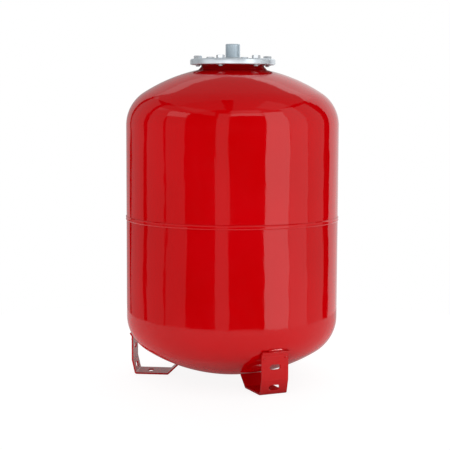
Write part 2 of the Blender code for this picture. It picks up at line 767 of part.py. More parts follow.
def main():
    for left_over in list(bpy.data.objects):
        bpy.data.objects.remove(left_over)
    root = bpy.data.objects.new("expansion_vessel", None)
    bpy.context.scene.collection.objects.link(root)
    shells(root)
    neck(root)
    flange(root)
    flange_fasteners(root)
    bladder(root)
    feet(root)
    valve_body(root)
    valve_core(root)
    valve_cap(root)


main()
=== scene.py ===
"""The looks of a floor-standing expansion vessel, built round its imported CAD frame.

Each turned piece's section is read from its CAD node, its curves are made smooth, and it is turned
again with fine facets, threads or weld ripples. The strap feet are made again from the first one's
side outline. Every CAD node is replaced. Units are metres, +Z is up, and the first foot faces -Y.
"""

import json
import math

import bmesh
import bpy
from mathutils import Matrix, Vector, noise

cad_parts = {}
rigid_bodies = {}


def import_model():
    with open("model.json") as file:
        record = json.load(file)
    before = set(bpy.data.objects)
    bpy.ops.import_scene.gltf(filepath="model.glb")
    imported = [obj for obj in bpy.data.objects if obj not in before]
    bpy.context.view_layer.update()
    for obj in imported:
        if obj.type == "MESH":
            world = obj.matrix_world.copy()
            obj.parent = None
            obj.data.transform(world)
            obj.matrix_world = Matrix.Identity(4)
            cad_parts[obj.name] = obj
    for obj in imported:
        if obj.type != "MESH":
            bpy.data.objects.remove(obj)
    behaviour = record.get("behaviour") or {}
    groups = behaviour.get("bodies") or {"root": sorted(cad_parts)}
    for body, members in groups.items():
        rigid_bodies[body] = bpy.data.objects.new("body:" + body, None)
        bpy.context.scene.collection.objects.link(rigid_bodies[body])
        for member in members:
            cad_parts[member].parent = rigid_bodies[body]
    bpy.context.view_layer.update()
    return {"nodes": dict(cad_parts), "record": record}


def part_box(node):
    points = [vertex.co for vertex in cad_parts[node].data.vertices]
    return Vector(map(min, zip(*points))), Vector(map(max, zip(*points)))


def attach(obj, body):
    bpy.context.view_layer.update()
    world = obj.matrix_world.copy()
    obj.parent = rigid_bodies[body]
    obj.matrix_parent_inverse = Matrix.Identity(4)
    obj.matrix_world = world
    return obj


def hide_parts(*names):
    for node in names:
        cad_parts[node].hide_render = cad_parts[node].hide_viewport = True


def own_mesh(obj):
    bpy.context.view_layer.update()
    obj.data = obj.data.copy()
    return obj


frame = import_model()

MM = 0.001
WELD = 1e-7
SAME = 1e-6  # CAD points nearer than this are one
SMOOTH_ANGLE = math.radians(35)
FINE = 256  # facets of a piece as wide as the vessel
MEDIUM = 128
SMALL = 64
BOLT_FACETS = 32
ARC_PARTS = 8  # of a rounded edge, and of each CAD chord on an arc
THREAD_ROWS = 8  # a turn
NOISE_RANGE = (0.35, 0.65)  # where nearly all of a noise texture's values lie

# Camera, at the photograph's viewing angle
CAMERA_AZIMUTH_DEG = -24.25
CAMERA_DISTANCE = 2.2246
CAMERA_HEIGHT = 0.5015
CAMERA_PITCH_DEG = -5.862
CAMERA_YAW_DEG = 0.329
CAMERA_ROLL_DEG = 0.2147
CAMERA_LENS_MM = 98.97
CAMERA_SENSOR_MM = 36

# Studio: a white table with soft boxes all round. Reflections show only these and the table.
EVEN_FILL = 0.28  # soft light that shows in no reflection, from all round
FILL_POWER = 3.0  # how fast the fills fall off away from their direction
FILLS = (
    # strength, and where from in the camera's frame
    (0.70, (0, 0.35, 1)),
    (1.62, (-0.34, -0.87, -0.62)),
)
FLOORS = (
    # name, radius, centre in the camera's frame, glow, tone, the rays that meet it
    ("floor", 0.80, (0, 0), 0.90, 0.14, "camera"),
    ("floor_reflected", 0.80, (0, 0), 0.09, 0.55, "glossy"),
    ("floor_dark_under", 0.185, (0.01, -0.01), 0.0, 0.05, "diffuse"),
    ("floor_bounce", 0.80, (0, 0), 0.22, 0.90, "diffuse"),
)
FLOOR_STEP = 0.2 * MM
PANEL_DISTANCE = 3.0
PANELS = (
    # name, from and to (degrees to the right of the camera), bottom, top, brightness
    ("strip", -16.3, -2.2, -1.2, 2.7, 0.36),
    ("left_near", -73.5, -50.4, -1.2, 1.75, 0.24),
    ("left_lamp", -76, -50.4, 1.75, 2.55, 1.05),
    ("left_high", -100, -20, 2.65, 3.8, 0.20),
    ("left_side", -101, -76, -1.2, 2.6, 0.28),
    ("left_far", -137, -107, -1.2, 3.0, 0.26),
    ("sweep_left", -180, -143, -1.2, 3.6, 0.42),
    ("soffit_low", -1.5, 32, 2.2, 2.75, 1.25),
    ("soffit_high", -1.5, 32, 2.75, 3.5, 0.48),
    ("key", 33, 60, -1.2, 2.8, 1.45),
    ("right_near", 60.5, 85, -1.2, 3.3, 0.72),
    ("right_side", 85.5, 112, -1.2, 3.1, 0.36),
    ("sweep_right", 124, 180, -1.2, 3.6, 0.80),
)
CARDS = (
    # reflectors that light only one kind of piece: how its nodes' names start, then the panel
    ("flange_plate", ("flange_card", -46, 31, -0.9, 0.7, 1.15)),
    ("flange_plate", ("flange_card_left", -82, -46, -0.9, 0.9, 0.55)),
    ("flange_bolt", ("bolt_card", -26, 31, -0.9, 1.6, 0.95)),
    ("water_nipple", ("nipple_card", -44, 31, -0.9, 1.6, 1.20)),
)
# Shows only as a reflection, in the feet and their welds.
FOOT_GLINT = ("foot_glint", 52, 84, 1.3, 3.2, 22)
CEILING = (
    # name, centre, size, brightness
    ("ceiling", (0, 1.6, 3.6), (6.0, 4.4), 0.20),
    ("ceiling_left", (-1.7, -1.75, 3.6), (2.6, 2.3), 0.15),
    ("ceiling_front", (1.5, -1.95, 3.6), (2.9, 2.7), 0.20),
    ("ceiling_right", (1.7, -1.0, 2.9), (1.4, 1.4), 0.22),
)

# Welds and the neck
# Painted shade under the flange: the red paint's colour darkens between these heights.
NECK_PAINTED_SHADE = (540.5 * MM, 546.5 * MM, 0.70)  # where it starts and ends, and the share left there
RIPPLES = {
    # each round weld's ripple: depth, pitch, where its roughness starts
    "seam_weld": (0.14 * MM, 3.2 * MM, 0.0),
    "neck_weld": (0.12 * MM, 2.6 * MM, 3.0),
    "nipple_weld": (0.18 * MM, 2.4 * MM, 5.0),
    "boss_weld": (0.12 * MM, 1.8 * MM, 7.0),
}
RIPPLE_GRAIN = 60  # how often the roughness changes, round the weld
RIPPLE_ROUGHNESS = 1.1  # of its depth
RIPPLE_LEAN = 0.4  # how far a sunk point moves down for each step in
PIPE_PITCH = 25.4 * MM / 14  # G 3/4
PIPE_THREAD_DEPTH = 0.45 * MM
NIPPLE_PLAIN = 4.2 * MM
NIPPLE_CHAMFER = 1.2 * MM
RIM_ROLL = (1.1 * MM, 3.2 * MM)  # how far in and how far up the flange's rim is rolled

# Bolts and nuts
GAP = 0.3 * MM  # the CAD's clearance between neighbours
HEX_ACROSS_FLATS = 13 * MM
CHAMFER_CIRCLE = 0.95  # across a hexagon's turned end, as a share of its flats
CHAMFER_DEG = 30
BOLT_COUNT = 6
BOLT_RADIUS = 4 * MM
BOLT_PITCH = 1.25 * MM
BOLT_THREAD_DEPTH = 0.65 * MM
BOLT_PLAIN = 3 * MM  # unthreaded under the head
BOLT_CHAMFER = 1 * MM
BOLT_HOLE_RADIUS = 4.5 * MM
BOLT_HOLE_CUT = 60 * MM
HEAD_TURN_DEG = 26  # which way the hexagons point when tight, nearly alike
HEAD_SPREAD_DEG = 5
HEAD_STEP = 2.4  # radians of the spread's wave from one bolt to the next

# Bladder
BLADDER_BELLY = (150 * MM, 440 * MM)  # from and to, in height
BLADDER_FADE = 60 * MM  # past the belly, over which ribs and sag die out
BLADDER_NECK_RADIUS = 100 * MM  # the part inside this keeps its shape
BLADDER_RIBS = 12
BLADDER_RIB = 1.2 * MM
BLADDER_RIB_POWER = 6
BLADDER_SAG = 4 * MM
BLADDER_WAVES = (3, 9)  # how often the sag changes, round the bladder and up it
BLADDER_STEP = 9 * MM

# Feet and their welds
FOOT_COUNT = 3
FOOT_EDGE = 0.5 * MM
FOOT_CORNER_DEG = 50  # a sharper turn than this is an edge, and not part of a bend
FOOT_FRONT = -180.3 * MM  # the upright's outer face
HEEL_LEAN = (0, 0.23, -1)  # down the heel of the strap
SLOT_SIZE = (20 * MM, 9 * MM)
SLOT_CUT = 14 * MM
SLOT_END_PARTS = 12
PIP_RADIUS = 2.4 * MM
PIP_HEIGHT = 1.3 * MM
PIP_INSET = 5 * MM
PIP_Z = 63.2 * MM
OUTER_BEAD_LONGER = 1 * MM  # at each end
OUTER_BEAD_SWELL = 0.9 * MM
OUTER_BEAD_SINK = 0.7 * MM  # towards the tank and up
BEAD_SPACING = 1.7 * MM
BEAD_DEPTH = 0.14  # of its half thickness
BEAD_ROUGHNESS = 0.10
BEAD_GRAIN = (500, 300)  # along the bead and across it
BEAD_SMOOTH_ANGLE = math.radians(80)

# Gas valve
STEM_HEX_ACROSS_FLATS = 16 * MM
VALVE_PITCH = 25.4 * MM / 32
VALVE_THREAD_DEPTH = 0.35 * MM
SPRING_TURNS = 5
SPRING_WIRE_RADIUS = 0.15 * MM
SPRING_STEPS = 32  # a turn
SPRING_SIDES = 10
CAP_RIBS = 36
CAP_RIB_DEPTH = 0.45 * MM
CAP_BAND = 1.6 * MM
CAP_BAND_EDGE = 0.4 * MM
CAP_DOME = 1.4 * MM
CAP_DOME_IN = 0.9  # of its height
CAP_STEP = 2 * MM


# ---------------------------------------------------------------- materials


class Shader:
    """A node material in the making, with its patterns in object space."""

    def __init__(self, name, **values):
        self.material = bpy.data.materials.new(name)
        self.material.use_nodes = True
        self.tree = self.material.node_tree
        self.surface = self.tree.nodes["Principled BSDF"]
        self.place = self.tree.nodes.new("ShaderNodeTexCoord").outputs["Object"]
        for socket, value in values.items():
            self.surface.inputs[socket.replace("_", " ")].default_value = value

    def node(self, kind, source, socket, **values):
        """A node with source linked to this socket, and values on its other inputs."""
        made = self.tree.nodes.new(kind)
        for name, value in values.items():
            made.inputs[name.replace("_", " ")].default_value = value
        self.tree.links.new(source, made.inputs[socket])
        return made

    def noise(self, scale, detail=3.0, stretch=(1, 1, 1)):
        """A noise in object space, whose values lie round 0.5."""
        place = self.node("ShaderNodeMapping", self.place, "Vector", Scale=stretch)
        made = self.node(
            "ShaderNodeTexNoise", place.outputs["Vector"], "Vector", Scale=scale, Detail=detail
        )
        return made.outputs["Fac"]

    def spread(self, source, low, high):
        """A noise's usual range, spread from low to high."""
        return self.mapped(source, *NOISE_RANGE, low, high)

    def mapped(self, source, start, end, low, high):
        """The values from start to end, mapped to those from low to high."""
        values = {"From_Min": start, "From_Max": end, "To_Min": low, "To_Max": high}
        return self.node("ShaderNodeMapRange", source, "Value", **values).outputs["Result"]

    def colours(self, source, dark, light):
        """A noise's usual range, as colours from dark to light."""
        ramp = self.node("ShaderNodeValToRGB", source, "Fac")
        ends = ramp.color_ramp.elements
        for end, position, colour in zip(ends, NOISE_RANGE, (dark, light)):
            end.position = position
            end.color = (*colour, 1)
        return ramp.outputs["Color"]

    def bump(self, source, depth, under=None):
        """The normal that source's relief gives, on top of the one under it."""
        made = self.node("ShaderNodeBump", source, "Height", Distance=depth)
        if under is not None:
            self.tree.links.new(under, made.inputs["Normal"])
        return made.outputs["Normal"]

    def finish(self, colour, roughness, normal):
        """The material, with these linked to its surface."""
        for source, name in ((colour, "Base Color"), (roughness, "Roughness"), (normal, "Normal")):
            self.tree.links.new(source, self.surface.inputs[name])
        return self.material


def red_paint():
    """Glossy stoved paint with slight orange peel, over sheet that was drawn not quite true.

    Its colour darkens towards the neck: painted shade, standing for the flange's shadow on the
    collar and the dome.
    """
    made = Shader("red_paint", Metallic=0.0, IOR=1.5)
    mottled = made.colours(made.noise(7), (0.51, 0.0, 0.001), (0.55, 0.0, 0.002))
    # Painted shade: the colour is darkened with height towards the neck, where the flange shades
    # it.
    height = made.node("ShaderNodeSeparateXYZ", made.place, "Vector").outputs["Z"]
    start, end, share = NECK_PAINTED_SHADE
    neck_shaded = made.node("ShaderNodeHueSaturation", mottled, "Color")
    made.tree.links.new(made.mapped(height, start, end, 1.0, share), neck_shaded.inputs["Value"])
    colour = neck_shaded.outputs["Color"]
    roughness = made.spread(made.noise(45), 0.04, 0.08)
    drawn = made.bump(made.noise(5.0, 1.0, (1, 1, 0.30)), 0.0040)
    drawn = made.bump(made.noise(14, 1.0, (1, 1, 0.35)), 0.0006, drawn)
    rolled = made.bump(made.noise(42, 2.0, (1, 1, 0.30)), 0.00034, drawn)
    peel = made.bump(made.noise(330, 1.0), 0.000010, rolled)
    return made.finish(colour, roughness, peel)


def zinc(name, base, low, high):
    """Bright zinc plate, with a cloudy tone and fine scratches."""
    made = Shader(name, Metallic=0.62)
    dark = tuple(part * 0.94 for part in base)
    colour = made.colours(made.noise(45, 2), dark, base)
    roughness = made.spread(made.noise(90), low, high)
    scratched = made.bump(made.noise(420, 2, (1, 1, 0.12)), 0.0000012)
    return made.finish(colour, roughness, scratched)


def grained(name, dark, light, metallic, low, high, scale, depth):
    """A moulded or machined finish: mottled, with a fine grain."""
    made = Shader(name, Metallic=metallic)
    colour = made.colours(made.noise(scale / 5), dark, light)
    roughness = made.spread(made.noise(scale / 2), low, high)
    return made.finish(colour, roughness, made.bump(made.noise(scale, 2), depth))


def grey(value):
    """A colour without hue."""
    return (value, value, value)


MATERIALS = {
    "red_paint": red_paint(),
    "zinc_plate": zinc("zinc_plate", (0.76, 0.85, 0.92), 0.09, 0.15),
    "zinc_rolled": zinc("zinc_rolled", (0.78, 0.86, 0.92), 0.20, 0.26),
    "zinc_pipe": zinc("zinc_pipe", (0.62, 0.72, 0.79), 0.10, 0.16),
    "zinc_fasteners": zinc("zinc_fasteners", (0.82, 0.86, 0.90), 0.10, 0.17),
    "rubber": grained("rubber", grey(0.012), grey(0.022), 0.0, 0.6, 0.8, 900, 0.00004),
    "brass": grained("brass", (0.62, 0.42, 0.15), (0.78, 0.56, 0.24), 1.0, 0.2, 0.35, 1500, 1e-5),
    "black_plastic": grained("black_plastic", grey(0.01), grey(0.018), 0.0, 0.35, 0.5, 1800, 3e-5),
    "spring_steel": grained("spring_steel", grey(0.4), grey(0.55), 1.0, 0.2, 0.35, 2500, 1e-5),
}
SLOT_OF = {part["node"]: part["material_slot"] for part in frame["record"]["subparts"]}
FINISH_OF = {
    # pieces whose finish differs a little from the rest of their slot
    "flange_plate": "zinc_rolled",
    "water_nipple": "zinc_pipe",
}
BODY_OF = {
    node: body for body, nodes in frame["record"]["behaviour"]["bodies"].items() for node in nodes
}


# ---------------------------------------------------------------- reading the frame


def key(point):
    """The point as whole numbers, the same for points that coincide."""
    return tuple(round(part / SAME) for part in point)


def loop_through(edges):
    """The points of one outline, in order, from its unordered edges. It may be open at its ends."""
    places, beside = {}, {}
    for ends in edges:
        a, b = (key(end) for end in ends)
        if a == b:
            continue
        places[a], places[b] = ends
        beside.setdefault(a, set()).add(b)
        beside.setdefault(b, set()).add(a)
    open_ends = sorted(k for k in beside if len(beside[k]) == 1)
    start = open_ends[0] if open_ends else min(beside)
    loop, here = [start], start
    while True:
        onward = sorted(k for k in beside[here] if k not in loop)
        if not onward:
            break
        here = onward[0]
        loop.append(here)
    return [places[k] for k in loop]


def section(node):
    """A turned CAD node's outline in the half plane y = 0, x > 0, as (radius, height)."""
    mesh = frame["nodes"][node].data
    edges = []
    for edge in mesh.edges:
        ends = [mesh.vertices[i].co for i in edge.vertices]
        if all(abs(end.y) < SAME and end.x > -SAME for end in ends):
            edges.append([(end.x, end.z) for end in ends])
    outline = loop_through(edges)
    first, last = outline[0], outline[-1]
    closing = {key(first), key(last)}
    is_ring = len(outline) > 2 and any({key(a), key(b)} == closing for a, b in edges)
    if not is_ring and first[0] > WELD:
        outline = [(0.0, first[1]), *outline, (0.0, last[1])]
    return outline


def side_outline(node):
    """The outline of an extruded CAD node's flat side at its highest x, as (y, z)."""
    mesh = frame["nodes"][node].data
    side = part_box(node)[1].x
    uses = {}
    for face in mesh.polygons:
        corners = [mesh.vertices[i].co for i in face.vertices]
        if any(abs(corner.x - side) > SAME for corner in corners):
            continue
        flat = [(corner.y, corner.z) for corner in corners]
        for a, b in zip(flat, flat[1:] + flat[:1]):
            uses.setdefault(frozenset((key(a), key(b))), []).append((a, b))
    return loop_through([found[0] for found in uses.values() if len(found) == 1])


def smoothed(points, corner_deg=40):
    """A closed outline with its arcs restored: where chords are even, each bulges by its turn."""
    uneven = 0.15  # how much the chords of one arc may differ
    points = [Vector(p) for p in points]
    count = len(points)
    steps = [points[(i + 1) % count] - points[i] for i in range(count)]
    turns = [steps[i].angle_signed(steps[i - 1], 0) for i in range(count)]
    on_arc = [
        abs(turns[i]) < math.radians(corner_deg)
        and abs(steps[i].length - steps[i - 1].length) < uneven * steps[i].length
        for i in range(count)
    ]
    path = []
    for i, step in enumerate(steps):
        path.append(tuple(points[i]))
        ends = [turns[j] for j in (i, (i + 1) % count) if on_arc[j]]
        bend = sum(ends) / len(ends) if ends else 0
        if abs(bend) < 1e-3:
            continue
        for j in range(1, ARC_PARTS):
            reach = math.sin(bend / 2 * j / ARC_PARTS) / math.sin(bend / 2)
            swing = Matrix.Rotation(bend / 2 * (j / ARC_PARTS - 1), 2)
            path.append(tuple(points[i] + swing @ step * reach))
    return path


# ---------------------------------------------------------------- making pieces


def piece(name, bm, node, sharp=SMOOTH_ANGLE):
    """The bmesh as a piece that stands for this CAD node, on its body and in its finish."""
    return piece_of(name, mesh_from(bm, name), node, sharp)


def piece_of(name, mesh, node, sharp=SMOOTH_ANGLE):
    """The mesh as a piece that stands for this CAD node."""
    mesh.shade_smooth()
    mesh.set_sharp_from_angle(angle=sharp)
    mesh.materials.clear()
    mesh.materials.append(MATERIALS[FINISH_OF.get(node, SLOT_OF[node])])
    made = bpy.data.objects.new(name, mesh)
    bpy.context.scene.collection.objects.link(made)
    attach(made, BODY_OF[node])
    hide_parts(node)
    return made


def spun(outline, facets, shape=None):
    """A closed outline turned about the vessel's axis. shape moves each point, by angle."""
    bm = bmesh.new()
    rows = []
    for i in range(facets):
        angle = math.tau * i / facets
        row = []
        for radius, height in outline:
            if shape is not None:
                radius, height = shape(radius, height, angle)
            row.append(
                bm.verts.new((radius * math.cos(angle), radius * math.sin(angle), height))
            )
        rows.append(row)
    count = len(outline)
    on_axis = [radius < WELD for radius, height in outline]
    for i, row in enumerate(rows):
        onward = rows[(i + 1) % facets]
        for j in range(count):
            k = (j + 1) % count
            if not (on_axis[j] and on_axis[k]):
                bm.faces.new((row[j], row[k], onward[k], onward[j]))
    return bm


def turned(node, facets, shape=None):
    """The piece for a turned CAD node."""
    return piece(f"{node}_skin", spun(smoothed(section(node)), facets, shape), node)


def cut(mesh, tool, operation="DIFFERENCE"):
    """The mesh that a Boolean of two meshes leaves."""
    scene = bpy.context.scene.collection.objects
    first, second = (bpy.data.objects.new("cut", data) for data in (mesh, tool))
    scene.link(first)
    scene.link(second)
    boolean = first.modifiers.new("cut", "BOOLEAN")
    boolean.operation = operation
    boolean.object = second
    bpy.context.view_layer.update()
    graph = bpy.context.evaluated_depsgraph_get()
    made = bpy.data.meshes.new_from_object(first.evaluated_get(graph))
    bpy.data.objects.remove(first)
    bpy.data.objects.remove(second)
    return made


def mesh_from(bm, name="part"):
    """The bmesh as a mesh, welded and with its faces turned outwards."""
    bmesh.ops.remove_doubles(bm, verts=bm.verts[:], dist=WELD)
    bmesh.ops.recalc_face_normals(bm, faces=bm.faces[:])
    mesh = bpy.data.meshes.new(name)
    bm.to_mesh(mesh)
    bm.free()
    return mesh


def prism(outline, direction, depth):
    """A flat outline of 3-D points, extruded along direction by depth, half to each side."""
    bm = bmesh.new()
    half = Vector(direction).normalized() * depth / 2
    face = bm.faces.new([bm.verts.new(Vector(p) - half) for p in outline])
    grown = bmesh.ops.extrude_face_region(bm, geom=[face])
    moved = [v for v in grown["geom"] if isinstance(v, bmesh.types.BMVert)]
    bmesh.ops.translate(bm, verts=moved, vec=half * 2)
    return bm


def rippled(node, facets):
    """The piece for a round weld, with the overlapping beads that its RIPPLES say."""
    depth, pitch, seed = RIPPLES[node]
    count = round(math.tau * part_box(node)[1].x / pitch)

    def shape(radius, height, angle):
        wave = abs(math.sin(count * angle / 2))
        around = (RIPPLE_GRAIN * math.cos(angle), RIPPLE_GRAIN * math.sin(angle), seed)
        rough = RIPPLE_ROUGHNESS * (1 - noise.noise(Vector(around)))
        sunk = depth * (1 - wave + rough)
        return radius - sunk, height - sunk * RIPPLE_LEAN

    return turned(node, facets, shape)


def ridge(turns):
    """Height of a rounded thread above its root, from 0 to 1, this many turns along it."""
    return 0.5 + 0.5 * math.cos(math.tau * turns)


def threaded(inner, outer, root, tip, plain, thread, chamfer, facets):
    """A tube, plain at its root and threaded to its chamfered tip. inner is 0 for a rod."""
    pitch, depth = thread
    towards = 1 if tip > root else -1
    start = root + towards * plain
    rows = round(abs(tip - start) / pitch * THREAD_ROWS)
    heights = [root] + [start + (tip - start) * i / rows for i in range(rows + 1)]
    profile = [(outer, z) for z in heights] + [(inner, tip), (inner, root)]

    def shape(radius, height, angle):
        if radius < outer:
            return radius, height
        run_in = min(1.0, max(0.0, (height - start) * towards / pitch))
        lowered = depth * run_in * (1 - ridge(height / pitch - angle / math.tau))
        turned_off = max(0.0, chamfer - abs(tip - height))
        return outer - max(lowered, turned_off), height

    return spun(profile, facets, shape)


def divided(points, longest):
    """A closed outline with its long steps split."""
    path = []
    for a, b in zip(points, points[1:] + points[:1]):
        parts = math.ceil(math.dist(a, b) / longest)
        path.extend(tuple(Vector(a).lerp(Vector(b), i / parts)) for i in range(parts))
    return path


# ---------------------------------------------------------------- pieces


def tank():
    """The two shells, with exact torispherical heads, and their weld."""
    for node in ("upper_shell", "lower_shell"):
        turned(node, FINE)
    rippled("seam_weld", 3 * FINE)


def bolt_holes(height):
    """Cutters for the bolt circle, round this height."""
    holes = bmesh.new()
    for number in range(1, BOLT_COUNT + 1):
        low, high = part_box(f"flange_bolt_{number}")
        place = Vector(((low.x + high.x) / 2, (low.y + high.y) / 2, height))
        bmesh.ops.create_cone(
            holes,
            cap_ends=True,
            segments=BOLT_FACETS,
            radius1=BOLT_HOLE_RADIUS,
            radius2=BOLT_HOLE_RADIUS,
            depth=BOLT_HOLE_CUT,
            matrix=Matrix.Translation(place),
        )
    return mesh_from(holes)


def neck():
    """The collar, the flange with its rolled rim, and the pipe nipple welded into it."""
    for node in ("neck_collar", "flange_plate"):
        low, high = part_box(node)
        outline = smoothed(section(node))
        if node == "flange_plate":
            outline = rolled_under(outline, low.z, high.x)
        blank = mesh_from(spun(outline, FINE))
        piece_of(f"{node}_skin", cut(blank, bolt_holes(low.z)), node)
    rippled("neck_weld", 2 * FINE)

    low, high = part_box("water_nipple")
    bore = min(radius for radius, height in section("water_nipple"))
    thread = (PIPE_PITCH, PIPE_THREAD_DEPTH)
    pipe = threaded(bore, high.x, low.z, high.z, NIPPLE_PLAIN, thread, NIPPLE_CHAMFER, MEDIUM)
    piece("water_nipple_skin", pipe, "water_nipple")
    rippled("nipple_weld", FINE)


def rolled_under(outline, bottom, radius):
    """The flange's outline with the lower outside edge of its rim rolled in a little."""
    roll_in, roll_up = RIM_ROLL
    path = []
    for here, height in outline:
        if abs(here - radius) > WELD or abs(height - bottom) > WELD:
            path.append((here, height))
            continue
        for i in range(ARC_PARTS + 1):
            angle = math.pi / 2 * i / ARC_PARTS
            inward, upward = roll_in * (1 - math.cos(angle)), roll_up * (1 - math.sin(angle))
            path.append((radius - inward, bottom + upward))
    return path


def hexagon_blank(across_flats, bottom, top, chamfer_top, chamfer_bottom):
    """A hexagon whose corners are turned off at one or both ends."""
    corner = across_flats / math.sqrt(3)
    middle = (bottom + top) / 2
    angles = [math.tau * i / 6 for i in range(6)]
    outline = [(corner * math.cos(a), corner * math.sin(a), middle) for a in angles]
    blank = mesh_from(prism(outline, (0, 0, 1), top - bottom))
    flat = across_flats / 2 * CHAMFER_CIRCLE
    wide = corner * 1.2  # clear of the corners
    drop = (wide - flat) * math.tan(math.radians(CHAMFER_DEG))
    turned_outline = [(0, top), (flat, top) if chamfer_top else (wide, top)]
    if chamfer_top:
        turned_outline.append((wide, top - drop))
    turned_outline.append((wide, bottom + (drop if chamfer_bottom else 0)))
    if chamfer_bottom:
        turned_outline.append((flat, bottom))
    turned_outline.append((0, bottom))
    return cut(blank, mesh_from(spun(turned_outline, SMALL)), "INTERSECT")


def bolt_mesh():
    """A hexagon bolt with a threaded shank, on the vessel's axis."""
    low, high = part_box("flange_bolt_1")
    under_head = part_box("flange_plate")[1].z + GAP
    head = hexagon_blank(HEX_ACROSS_FLATS, under_head, high.z, True, False)
    thread = (BOLT_PITCH, BOLT_THREAD_DEPTH)
    root = under_head + BOLT_CHAMFER
    shank = threaded(0.0, BOLT_RADIUS, root, low.z, BOLT_PLAIN, thread, BOLT_CHAMFER, BOLT_FACETS)
    return cut(head, mesh_from(shank), "UNION")


def nut_mesh():
    """A thin nut, chamfered on both faces, on the vessel's axis."""
    low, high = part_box("flange_nut_1")
    blank = hexagon_blank(HEX_ACROSS_FLATS, low.z, high.z, True, True)
    return cut(blank, rod(BOLT_RADIUS + GAP, low.z - MM, high.z + MM))


def fasteners():
    """The bolts and their nuts, each turned as it happened to come tight."""
    for kind, master in (("bolt", bolt_mesh()), ("nut", nut_mesh())):
        for number in range(1, BOLT_COUNT + 1):
            node = f"flange_{kind}_{number}"
            low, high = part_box(node)
            centre = (low + high) / 2
            mesh = master.copy()
            angle = HEAD_TURN_DEG + HEAD_SPREAD_DEG * math.sin(HEAD_STEP * number)
            turn = Matrix.Rotation(math.radians(angle), 4, "Z")
            mesh.transform(Matrix.Translation((centre.x, centre.y, 0)) @ turn)
            piece_of(f"{node}_skin", mesh, node)


def rod(radius, bottom, top):
    """A plain round cutter on the vessel's axis."""
    return mesh_from(spun([(0, top), (radius, top), (radius, bottom), (0, bottom)], SMALL))


def bladder():
    """The rubber bladder, with moulded ribs down its belly and a slight sag."""
    waist, shoulder = BLADDER_BELLY
    middle, reach = (waist + shoulder) / 2, (shoulder - waist) / 2 + BLADDER_FADE

    def shape(radius, height, angle):
        swell = max(0.0, 1 - ((height - middle) / reach) ** 2)
        if radius < BLADDER_NECK_RADIUS:
            swell = 0.0
        rib = max(0.0, math.cos(BLADDER_RIBS * angle)) ** BLADDER_RIB_POWER
        round_it, up_it = BLADDER_WAVES
        spot = (round_it * math.cos(angle), round_it * math.sin(angle), up_it * height)
        sag = noise.noise(Vector(spot))
        return radius + swell * (BLADDER_RIB * rib + BLADDER_SAG * sag), height

    outline = divided(smoothed(section("bladder")), BLADDER_STEP)
    piece("bladder_skin", spun(outline, FINE + MEDIUM, shape), "bladder")


def stadium(centre, along, across, length, width):
    """A slot's outline round this centre."""
    points = []
    for end in (1, -1):
        for i in range(SLOT_END_PARTS + 1):
            angle = math.pi * (i / SLOT_END_PARTS - end / 2)
            offset = Vector((math.cos(angle), math.sin(angle))) * width / 2
            offset.x += end * (length - width) / 2
            points.append(centre + along * offset.x + across * offset.y)
    return points


def opening_centre(name):
    """The middle of an opening that the record states."""
    for opening in frame["record"]["physics"]["openings"]:
        if opening["name"] == name:
            low, high = (Vector(corner) for corner in opening["box_m"])
            return (low + high) / 2
    raise ValueError(name)


def turned_to(number):
    """The turn that takes foot 1 to this foot."""
    return Matrix.Rotation(math.tau / FOOT_COUNT * (number - 1), 4, "Z")


def foot_slots():
    """Cutters for the first foot's three slots."""
    side = Vector((1, 0, 0))
    slots = bmesh.new()
    for name, up in (
        ("foot_1_upright_slot", Vector((0, 0, 1))),
        ("foot_1_heel_slot", Vector(HEEL_LEAN).normalized()),
        ("foot_1_sole_slot", Vector((0, 1, 0))),
    ):
        centre = opening_centre(name)
        slot = stadium(centre, side, up, *SLOT_SIZE)
        slots.from_mesh(mesh_from(prism(slot, side.cross(up), SLOT_CUT)))
    return mesh_from(slots)


def foot_pips():
    """The two low domes pressed out of the first foot's front, under its top bend."""
    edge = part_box("foot_1")[1].x
    flattened = Matrix.Diagonal((1, PIP_HEIGHT / PIP_RADIUS, 1, 1))
    pips = bmesh.new()
    for sign in (1, -1):
        centre = Vector((sign * (edge - PIP_INSET), FOOT_FRONT, PIP_Z))
        matrix = Matrix.Translation(centre) @ flattened
        bmesh.ops.create_icosphere(pips, subdivisions=3, radius=PIP_RADIUS, matrix=matrix)
    return mesh_from(pips)


def feet():
    """Folded straps with soft edges, and the welds that hold them."""
    low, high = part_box("foot_1")
    outline = smoothed(side_outline("foot_1"), FOOT_CORNER_DEG)
    blank = mesh_from(prism([(0, y, z) for y, z in outline], (1, 0, 0), high.x - low.x))
    strap = cut(cut(blank, foot_slots()), foot_pips(), "UNION")
    for number in range(1, FOOT_COUNT + 1):
        node = f"foot_{number}"
        mesh = strap.copy()
        mesh.transform(turned_to(number))
        made = piece_of(f"{node}_skin", mesh, node)
        edges = made.modifiers.new("edges", "BEVEL")
        edges.width = FOOT_EDGE
        edges.segments = 2
        edges.limit_method = "ANGLE"
        edges.angle_limit = math.radians(FOOT_CORNER_DEG)

        for kind in ("outer", "inner"):
            weld(f"foot_{kind}_weld_{number}", number)


